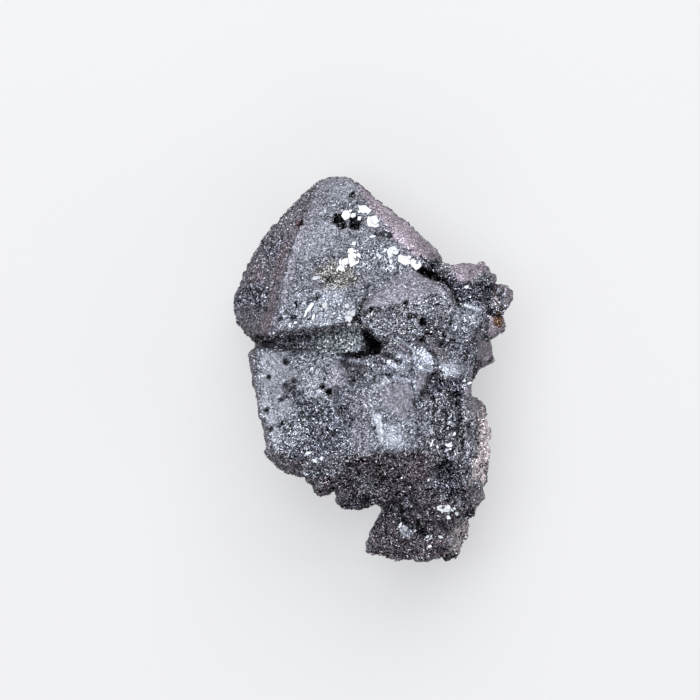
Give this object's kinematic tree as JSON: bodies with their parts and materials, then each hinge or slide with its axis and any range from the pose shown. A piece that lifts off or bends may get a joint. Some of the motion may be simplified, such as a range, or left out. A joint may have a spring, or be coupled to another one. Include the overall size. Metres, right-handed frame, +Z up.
{
  "type": "hematite pseudomorph specimen",
  "caption": "Loose mineral specimen: octahedral hematite crystals, once magnetite, grown together on a knobbly sparkling grey matrix.",
  "frame": {"origin": "under the middle of the outline seen from above, on the flat break that the specimen rests on", "axes": "+Z up, away from the broken back; +Y towards the point of the largest crystal; +X to the right, towards the knobbly side"},
  "size_m": [0.029, 0.04, 0.0182],
  "materials": {
    "hematite": "dark steel grey, metallic and drusy, with bright glints, smoother purplish faces and a pale pink crust at the lower right"
  },
  "bodies": {
    "root": {"hematite_specimen": "hematite"}
  },
  "joints": []
}
